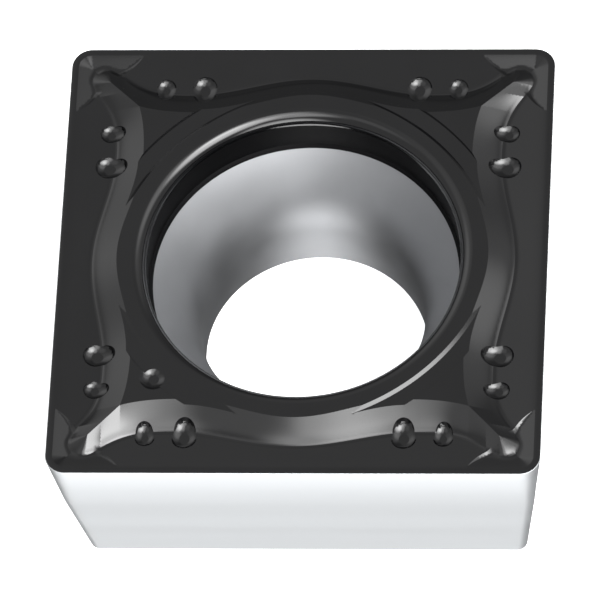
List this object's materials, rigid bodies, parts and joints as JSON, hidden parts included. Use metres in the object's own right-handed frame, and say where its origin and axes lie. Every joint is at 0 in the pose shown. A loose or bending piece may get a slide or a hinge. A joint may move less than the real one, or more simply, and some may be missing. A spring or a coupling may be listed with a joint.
{
  "type": "indexable carbide turning insert",
  "caption": "Square positive carbide turning insert with a pressed chip breaker, corner noses, small round dimples and a countersunk screw hole.",
  "frame": {"origin": "centre of the flat seat face, on the axis of the screw hole", "axes": "+Z along the screw hole, from the seat face to the cutting edges; +X and +Y across the flanks"},
  "size_m": [0.0096, 0.0096, 0.0041],
  "materials": {
    "coated_carbide": "black glossy coating on the rake side, ground bright grey flanks"
  },
  "bodies": {
    "root": {"insert": "coated_carbide"}
  },
  "joints": []
}
